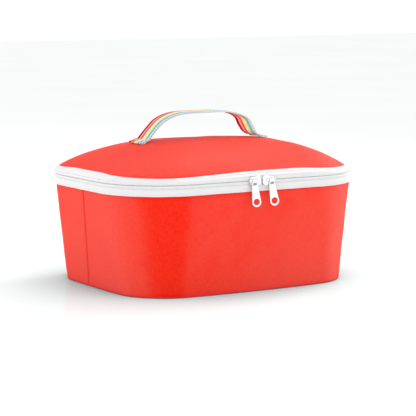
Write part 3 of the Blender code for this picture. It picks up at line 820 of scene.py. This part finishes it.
def make_tapes():
    """Both tapes: sewn over the red cloth's edge, they bulge out to the chain and pass behind it."""
    places = stations(ZIP_START, ZIP_STOP)
    edge, tuck = 0.35 * MM, -0.1 * MM
    lower = [lower_band_ring(0.0, tuck)._replace(z=WALL_HEIGHT - 0.1 * MM),
             lower_band_ring(0.0, edge)._replace(z=WALL_HEIGHT - 0.2 * MM)]
    lower += [lower_band_ring(s, edge + 0.25 * MM) for s in np.linspace(0.03, 0.90, 16)]
    shares = np.linspace(0.14, 0.97, 14)
    upper = [upper_band_ring(s, edge + 0.25 * MM) for s in shares]
    upper += [upper_band_ring(1.0, edge)._replace(z=LID_SEAM + 0.5 * MM),
              upper_band_ring(1.0, tuck)._replace(z=LID_SEAM + 0.45 * MM)]
    for name, node, body, rings, follow in (
            ("lower_tape", "lower_zipper_tape", "body", lower, np.zeros(len(lower))),
            ("upper_tape", "upper_zipper_tape", "lid", upper, np.concatenate([shares, [1.0, 1.0]]))):
        points = rows_of(rings, places)
        points[..., 2] += follow[:, None] * seam_lift(places)[None, :]
        beside = np.abs(points[..., 2] - CHAIN_Z) - CHAIN_HALF
        groove = -1.0 * MM * np.clip(1.0 - beside / (1.3 * MM), 0.0, 1.0)
        crease = -0.3 * MM * bump(follow, 0.80, 0.14)[:, None]
        lift = 0.12 * MM * unevenness(points, 0.012, 5.0) + groove + crease
        points += outward(points) * lift[..., None]
        settle(cloth_piece(name, points, TAPE_WHITE, TAPE), body, "white_tape", node)


def make_tape_stitches():
    """The rows of stitches that sew both tapes on."""
    places = stations(ZIP_START + 0.02, ZIP_STOP - 0.02, 3.0 * MM)
    for name, ring, body, follow in (
            ("lower_tape_stitches", lower_band_ring(0.16, 0.65 * MM), "body", 0.0),
            ("upper_tape_stitches", upper_band_ring(0.86, 0.65 * MM), "lid", 0.86)):
        path = rows_of([ring], places)[0]
        path[:, 2] += follow * seam_lift(places)
        settle(stitches(name, path, sideways(path), 3.3 * MM, 2.5 * MM, 0.28 * MM), body, "white_tape")


def squarish(value):
    """A sine or cosine that makes a rounded square of a circle."""
    return copysign(abs(value) ** 0.75, value)


def make_coils():
    """Each half of the chain: a cord of ribs, one rib to a turn of the coil."""
    pitch = 1.45 * MM
    places = stations(ZIP_START + 0.01, ZIP_STOP - 0.01, pitch / 4.0)
    half_height, half_depth = CHAIN_HALF / 2.0 - 0.05 * MM, 1.2 * MM
    steps = 16
    for name, node, body, sign, shift in (("lower_coil", "lower_zipper_coil", "body", -1.0, 0.5),
                                          ("upper_coil", "upper_zipper_coil", "lid", 1.0, 0.0)):
        spine = rows_of([mouth_ring(CHAIN_Z + sign * CHAIN_HALF / 2.0, CHAIN_OUTSET)], places)[0]
        rib = 0.5 + 0.5 * np.cos(tau * (run_along(spine) / pitch + shift))[:, None]
        out = sideways(spine) * half_depth * (0.90 + 0.10 * rib)
        up = UP * half_height * (0.95 + 0.05 * rib)
        rows = []
        for k in range(steps + 1):
            angle = -sign * (pi / 2.0 + k * tau / steps)
            rows.append(spine + out * squarish(cos(angle)) + up * squarish(sin(angle)))
        points = np.array(rows[::-1] if sign < 0 else rows)
        settle(welded_piece(name, points, NYLON), body, "zip_coil", node)


# ---- back hinge ----
def make_hinge():
    """The strip of red cloth that joins the lid to the body at the back, and the strip of lining inside."""
    outset = 0.9 * MM
    rings = [lower_band_ring(0.0, outset)._replace(z=WALL_HEIGHT - drop * MM) for drop in (2.0, 1.0)]
    rings += [lower_band_ring(s, outset) for s in np.linspace(0.05, 1.0, 9)]
    rings += [upper_band_ring(s, outset) for s in np.linspace(0.1, 1.0, 9)]
    rings += [dome_ring(0.992)._replace(z=LID_SEAM + 1.5 * MM)]
    inner = [mouth_ring(z, -7.9 * MM) for z in np.linspace(WALL_HEIGHT - 3.0 * MM, CHAIN_Z + 4.5 * MM, 14)]
    cloth = cloth_piece("hinge_cloth", rows_of(rings, stations(-1.0, 1.0)), RED, FABRIC)
    liner = cloth_piece("hinge_liner", rows_of(inner, stations(-0.95, 0.95)), LINING, LINING_FILM)
    for piece, node, slot in ((cloth, "hinge_panel", "red_fabric"), (liner, "hinge_lining", "lining")):
        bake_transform(piece)
        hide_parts(node + "_lower", node + "_upper")


# ---- inside ----
def make_linings():
    """The tub lining and the lid's lining."""
    places = stations(0.0, 12.0, COARSE)
    inset, ground = MOUTH_HALF_Y - LINING_HIGH[1], LINING_LOW[2]
    edge = wall_ring(ground, inset + 3.0 * MM)
    tub = shrunk(edge, np.linspace(0.04, 0.97, 22), ground)
    tub += [edge, wall_ring(ground + 0.9 * MM, inset + 0.9 * MM)]
    tub += [wall_ring(z, inset) for z in np.linspace(ground + 3.0 * MM, LINING_HIGH[2], 30)]
    dome = [dome_ring(s, LID_TOP[2] - LID_LINING_HIGH[2]) for s in np.linspace(0.965, 0.03, 36)]
    for name, node, body, rings, depth, seed in (("body_liner", "body_lining", "body", tub, 0.7 * MM, 23.0),
                                                 ("lid_liner", "lid_lining", "lid", dome, 0.6 * MM, 29.0)):
        points = rows_of(rings, places, pushed=False)
        points += outward(points) * (depth * (unevenness(points, 0.03, seed) - 0.6))[..., None]
        on_lid = body == "lid"
        piece = cloth_piece(name, points, LINING, LINING_FILM, loop=True, top=on_lid, bottom=not on_lid)
        settle(piece, body, "lining", node)


def make_bindings():
    """Rounded binding tapes over the seam allowances, inside the mouth and the lid's rim."""
    for name, node, body, ring_at, rim in (
            ("body_binding", "body_rim_binding", "body", lambda z, out: wall_ring(z, -out), MOUTH_HALF_Y),
            ("lid_binding", "lid_rim_binding", "lid", lid_ring, LID_HALF_Y + LID_BOW_Y)):
        low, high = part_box(node)
        middle, half = (low[2] + high[2]) / 2.0, (high[2] - low[2]) / 2.0
        rings = [ring_at(middle + half * sin(t), high[1] - 1.0 * MM * (1.0 - cos(t)) - rim)
                 for t in turns(12) + [tau]]
        points = rows_of(rings, stations(0.0, 12.0, COARSE))
        settle(welded_piece(name, points, BINDING, loop=True), body, "binding", node)


# ---- handle ----
def smooth_path(knots, steps):
    """Points on a smooth curve through the knots."""
    knots = [Vector(k) for k in knots]
    ghosts = [knots[0] * 2.0 - knots[1]] + knots + [knots[-1] * 2.0 - knots[-2]]
    path = []
    for k in range(1, len(ghosts) - 2):
        a, b, c, d = ghosts[k - 1:k + 3]
        for s in (step / steps for step in range(steps)):
            path.append(0.5 * (2.0 * b + (c - a) * s + (2.0 * a - 5.0 * b + 4.0 * c - d) * s ** 2
                               + (3.0 * b - a - 3.0 * c + d) * s ** 3))
    return path + [knots[-1]]


def cloth_height(x):
    """Height of the lid's cloth under the middle of the handle."""
    return dome_height(x, HANDLE_Y) + float(lid_lift(x, HANDLE_Y)) + 0.4 * MM


# For each side of the handle: where its foot is, how far its leg leans inwards at four knots in millimetres,
# and how far the leg's front edge stands outwards.
Leg = namedtuple("Leg", "sign foot_x lean splay")
LEGS = {"left": Leg(-1.0, HANDLE_FOOT_X, (0.4, 0.8, 2.6, 1.5), 0.7 * MM),
        "right": Leg(1.0, HANDLE_FOOT_X - 3.0 * MM, (2.8, 1.7, -0.6, 0.0), 1.5 * MM)}


def handle_side(leg):
    """Knots from the folded-under end of the webbing to near the top of the arch, on one side."""
    end_x, top = leg.foot_x + 7.4 * MM, HANDLE_HIGH[2] - WEBBING / 2.0
    under, outer = (cloth_height(leg.sign * x) + WEBBING / 2.0 for x in (leg.foot_x, end_x))
    layer = 0.75 * WEBBING / MM
    low, bend, high, crest = leg.lean
    fold = ((-3.0, 0.3), (-0.4, 0.1), (0.35, layer * 0.5), (-0.4, layer), (-3.0, layer + 0.4))
    rise = ((1.6, layer + 0.2), (-1.6 - 0.3 * low, layer + 1.0), (-4.6 - low, layer + 4.6))
    arch = ((-9.8 - bend, -17.0), (-19.5 - high, -7.0), (-39.5 - crest, -0.8))
    knots = [(leg.foot_x + 1.5 * MM, under)]
    for x, z, steps in ((end_x, outer, fold), (leg.foot_x, under, rise), (leg.foot_x, top, arch)):
        knots += [(x + along * MM, z + above * MM) for along, above in steps]
    return [(leg.sign * x, z) for x, z in knots]


def make_handle():
    """One strip of webbing: its ends are folded under and sewn to the lid, and it arches between them."""
    left, right = (handle_side(LEGS[side]) for side in ("left", "right"))
    path = smooth_path(left + [(0.0, HANDLE_HIGH[2] - WEBBING / 2.0)] + right[::-1], 8)
    across = np.linspace(-1.0, 1.0, 13)
    points = np.array([[(p.x, HANDLE_Y - WEBBING_HALF * a, p.y) for p in path] for a in across])
    points[..., 2] -= 0.5 * MM * across[:, None] ** 2 * share_of(points[..., 2] - 0.150, 0.02)
    splay = np.where(points[..., 0] > 0.0, LEGS["right"].splay, -LEGS["left"].splay)
    points[..., 0] += splay * bump(points[..., 2], 0.160, 0.014) * across[:, None]
    piece = cloth_piece("handle_strap", points, WEBBING_CLOTH, WEBBING, offset=0.0)
    put(piece.modifiers.new("edge", "BEVEL"), width=0.35 * MM, segments=2, limit_method="ANGLE",
        angle_limit=radians(50))
    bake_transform(piece)
    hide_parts("handle_webbing", "left_handle_end", "right_handle_end")


def make_handle_stitches():
    """A rectangle of stitches with a diagonal on each sewn end of the handle."""
    half = WEBBING_HALF - 2.2 * MM
    for side, leg in LEGS.items():
        inner, outer = leg.foot_x + 1.2 * MM, leg.foot_x + 6.0 * MM
        corners = [(inner, -half), (outer, -half), (outer, half), (inner, half)]
        corners += [corners[0], corners[2]]
        path = []
        for (ax, ay), (bx, by) in zip(corners, corners[1:]):
            for share in np.linspace(0.0, 1.0, 12)[:-1]:
                x, y = leg.sign * (ax + (bx - ax) * share), ay + (by - ay) * share
                path.append((x, HANDLE_Y + y, cloth_height(x) + 2.0 * WEBBING + 0.45 * MM))
        normals = np.tile(UP, (len(path), 1))
        piece = stitches(side + "_handle_stitches", np.array(path), normals, 2.9 * MM, 2.2 * MM, 0.25 * MM)
        settle(piece, "lid", "striped_webbing")


# ---- sliders ----
def rounded_outline(points, radius, steps=5):
    """A closed outline with its corners rounded."""
    points = [Vector(p) for p in points]
    result = []
    for k, here in enumerate(points):
        before, after = points[k - 1], points[(k + 1) % len(points)]
        a = (before - here).normalized()
        b = (after - here).normalized()
        reach = min(radius, (before - here).length * 0.45, (after - here).length * 0.45)
        start, end = here + a * reach, here + b * reach
        for step in range(steps + 1):
            s = step / steps
            result.append(start * (1 - s) ** 2 + here * (2 * s * (1 - s)) + end * s ** 2)
    return result


def plate(bm, outline, y_back, y_front, bevel):
    """A plate standing in the XZ plane between two depths, with its front edge rounded."""
    centre = sum(outline, Vector((0.0, 0.0))) / len(outline)
    rings = []
    for y, inset in ((y_back, bevel * 0.5), (y_back - bevel * 0.5, 0.0), (y_front + bevel, 0.0),
                     (y_front + bevel * 0.3, bevel * 0.3), (y_front, bevel)):
        inner = [p - (p - centre).normalized() * inset for p in outline]
        rings.append([bm.verts.new((q.x, y, q.y)) for q in inner])
    tube(bm, rings)


def mirrored(points):
    """Half of an outline, and the same points backwards, above the middle."""
    return points + [(x, -z) for x, z in reversed(points)]


def make_slider(side):
    """A die-cast slider: shouldered plate, side flanges and a crown that the pull tab hangs on."""
    low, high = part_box(side + "_slider_body")
    pivot = JOINTS[side + "_tab_swing"]["pos_m"]
    centre_x, centre_z = (low[0] + high[0]) / 2.0, (low[2] + high[2]) / 2.0
    half, width = (high[0] - low[0]) / 2.0, (high[2] - low[2]) / 2.0
    mouth = 1.0 if side == "left" else -1.0
    shape = mirrored([(-1.0, -0.62), (-0.15, -0.80), (0.55, -1.0), (1.0, -0.55)])
    outline = [(centre_x + mouth * x * half, centre_z + z * width) for x, z in shape]
    back = -(MOUTH_HALF_Y + PLATE_OUTSET)
    bm = bmesh.new()
    plate(bm, rounded_outline(outline, 2.0 * MM), back, back - 1.5 * MM, 0.6 * MM)
    sweep(bm, crown_ring(pivot[0], pivot[2], pivot[1], back - 1.2 * MM), 1.5 * MM, 0.65 * MM)
    thick = 0.45 * MM
    for sign, depth in ((-1.0, 0.8 * MM), (1.0, 0.5 * MM)):
        z = centre_z + sign * (width - 0.5 * MM)
        flange = [(centre_x + x, z + up) for x, up in mirrored([(-half * 0.7, -thick), (half * 0.7, -thick)])]
        plate(bm, rounded_outline(flange, 0.4 * MM, 3), back + depth, back - 0.4 * MM, 0.2 * MM)
    piece = solid_piece(side + "_slider", bm, PAINT)
    settle(piece, side + "_slider", "painted_slider", side + "_slider_body")


def crown_ring(x, z, bar_y, foot_y):
    """The centre line of the slider's crown: up from the plate, along X and down again."""
    reach = 4.6 * MM
    leg = [(-reach, foot_y + 0.4 * MM), (0.2 * MM - reach, foot_y - 0.9 * MM),
           (-reach * 0.62, bar_y + 0.35 * MM)]
    knots = [(x + along, y) for along, y in leg + [(0.0, bar_y)] + [(-along, y) for along, y in leg[::-1]]]
    return [Vector((p.x, p.y, z)) for p in smooth_path(knots, 5)]


def sweep(bm, path, half_wide, half_thick):
    """A strap of rounded section, wide along Z, along a path in a level plane."""
    up = Vector(UP)
    rings = []
    for k, spot in enumerate(path):
        ahead = path[min(k + 1, len(path) - 1)] - path[max(k - 1, 0)]
        side = up.cross(ahead).normalized()
        ring = []
        for angle in turns(12):
            c, d = cos(angle), sin(angle)
            girth = 1.0 / max(abs(c), abs(d)) ** 0.45
            ring.append(bm.verts.new(spot + side * (c * half_thick * girth) + up * (d * half_wide * girth)))
        rings.append(ring)
    tube(bm, rings)


def arc(centre_z, radius, angles):
    """Points round a centre on the tab's middle line."""
    return [Vector((radius * cos(a), centre_z + radius * sin(a))) for a in angles]


def tab_outlines():
    """The tab's outer edge, its round hole and its window, below the pivot."""
    end_radius, hole_radius, neck = 4.75 * MM, 3.35 * MM, 3.4 * MM
    reach, top = 21.8 * MM, 0.9 * MM
    widening = asin((end_radius - neck) / (reach + top))
    outline = rounded_outline([(neck, -0.5 * MM), (neck * 0.8, top), (-neck * 0.8, top), (-neck, -0.5 * MM)],
                              0.9 * MM, 4)
    outline += arc(-reach, end_radius, np.linspace(pi - widening, tau + widening, 33))
    hole = arc(0.4 * MM - reach, hole_radius, turns(40))
    low, high, half = -4.2 * MM, -1.9 * MM, 2.0 * MM
    window = rounded_outline([(-half, low), (half, low), (half, high), (-half, high)], 0.8 * MM, 4)
    return outline, hole[::-1], window


def make_tab(side):
    """A pull tab that widens to a round end with a round hole, on a curled eye."""
    curve = bpy.data.curves.new(side + "_tab_outline", "CURVE")
    rounding = 0.28 * MM
    put(curve, dimensions="2D", fill_mode="BOTH", extrude=0.35 * MM, bevel_depth=rounding, bevel_resolution=3,
        offset=-rounding)
    for points in tab_outlines():
        spline = curve.splines.new("POLY")
        spline.points.add(len(points) - 1)
        for point, place in zip(spline.points, points):
            point.co = (place.x, place.y, 0.0, 1.0)
        spline.use_cyclic_u = True
    guide = link("tab_guide", curve)
    mesh = bpy.data.meshes.new_from_object(guide.evaluated_get(bpy.context.evaluated_depsgraph_get()))
    bpy.data.objects.remove(guide)
    bm = bmesh.new()
    bm.from_mesh(mesh)
    bmesh.ops.remove_doubles(bm, verts=bm.verts, dist=CLOSE)
    pivot = Vector(JOINTS[side + "_tab_swing"]["pos_m"])
    turn = Matrix.Translation(pivot)
    for degrees, axis in ((-12.0, "Z"), (-TAB_LEAN[side], "Y"), (90.0, "X")):
        turn = turn @ Matrix.Rotation(radians(degrees), 4, axis)
    bmesh.ops.transform(bm, matrix=turn, verts=bm.verts)
    eye(bm, pivot)
    piece = solid_piece(side + "_tab_metal", bm, PAINT)
    piece.data.set_sharp_from_angle(angle=radians(40))
    settle(piece, side + "_tab", "painted_slider", side + "_pull_tab")


def eye(bm, pivot):
    """The curled eye round the crown's bar."""
    outer, inner, half, bevel = 1.55 * MM, 0.95 * MM, 2.3 * MM, 0.25 * MM
    profile = [(-half, inner), (-half, outer - bevel), (bevel - half, outer), (half - bevel, outer),
               (half, outer - bevel), (half, inner)]
    rings = []
    for x, radius in profile:
        spots = [Vector((x, radius * cos(a), radius * sin(a))) for a in turns(24)]
        rings.append([bm.verts.new(pivot + spot) for spot in spots])
    tube(bm, rings, closed=True)


def dress_frame_parts():
    """The CAD nodes that stay: foam, backing patches and zip stops get their own materials."""
    finishes = {"wall_foam": FOAM, "base_foam": FOAM, "lid_foam": FOAM, "left_handle_backing": BINDING,
                "right_handle_backing": BINDING, "left_zipper_stop": PAINT, "right_zipper_stop": PAINT}
    for node, material in finishes.items():
        item = frame["nodes"][node]
        item.data.materials.clear()
        item.data.materials.append(material)


# ---- stage ----
def make_floor():
    """A plain floor just under the bag."""
    bm = bmesh.new()
    bmesh.ops.create_grid(bm, x_segments=1, y_segments=1, size=6.0)
    sheet = link("floor", mesh_from("floor", bm), floor_material())
    sheet.location.z = -0.05 * MM


def make_camera():
    """The camera: to the left of the front, a little above the bag."""
    azimuth, elevation = radians(-31.75), radians(7.3)
    distance, focal_pixels, picture, sensor = 1.98, 1862.0, 416.0, 36.0
    back = Vector((sin(azimuth) * cos(elevation), -cos(azimuth) * cos(elevation),
                   sin(elevation)))
    right = Vector((cos(azimuth), sin(azimuth), 0.0))
    up = back.cross(right)
    aim = Vector((0.0, 0.0, 0.065)) + right * (5.45 * MM) + up * (8.6 * MM)
    data = bpy.data.cameras.new("camera")
    put(data, sensor_width=sensor, lens=focal_pixels / picture * sensor, clip_end=50.0)
    camera = link("camera", data)
    axes = Matrix((right, up, back)).transposed().to_4x4()
    camera.matrix_world = Matrix.Translation(aim + back * distance) @ axes
    bpy.context.scene.camera = camera


def lamp(name, kind, place, aim, **values):
    """A light at a place, turned towards its aim."""
    data = bpy.data.lights.new(name, kind)
    put(data, **values)
    light = link(name, data)
    light.location = place
    light.rotation_euler = (Vector(aim) - Vector(place)).to_track_quat("-Z", "Y").to_euler()


def soft_box(name, place, aim, width, height, power):
    """A rectangular studio light."""
    lamp(name, "AREA", place, aim, shape="RECTANGLE", size=width, size_y=height, energy=power)


def make_lights():
    """A white room, a little darker in front, with soft boxes on all sides and a spot on the handle."""
    world = bpy.data.worlds.new("studio")
    make = Maker(world)
    background = world.node_tree.nodes["Background"]
    make.give(background.inputs["Color"], grey(1.0))
    towards = make.vectors("DOT_PRODUCT", make.place(), (-0.52, -0.85, 0.10))["Value"]
    make.give(background.inputs["Strength"], make.rise(towards, 0.3, 0.95, 1.07, 0.88))
    bpy.context.scene.world = world
    centre = (0.0, 0.0, 0.08)
    soft_box("top_box", (0.1, -0.2, 1.3), centre, 1.2, 1.2, 3.0)
    soft_box("left_box", (-0.85, 0.6, 0.14), centre, 0.8, 0.2, 1.8)
    soft_box("right_box", (1.15, 0.25, 0.55), centre, 0.7, 0.6, 9.0)
    lamp("handle_spot", "SPOT", (-1.0, -0.9, 0.30), (0.062, 0.0, 0.162), energy=62.0, color=(0.42, 1.0, 0.85),
         spot_size=radians(4.6), spot_blend=1.0, shadow_soft_size=0.025)
    soft_box("front_box", (-0.70, -1.15, 0.15), (0.0, -0.05, 0.05), 1.0, 0.25, 2.2)
    bpy.context.scene.view_settings.view_transform = "Standard"


make_camera()
make_lights()
make_floor()
make_wall()
make_base()
make_lid()
make_tapes()
make_tape_stitches()
make_coils()
make_hinge()
make_linings()
make_bindings()
make_handle()
make_handle_stitches()
for slider_side in ("left", "right"):
    make_slider(slider_side)
    make_tab(slider_side)
dress_frame_parts()
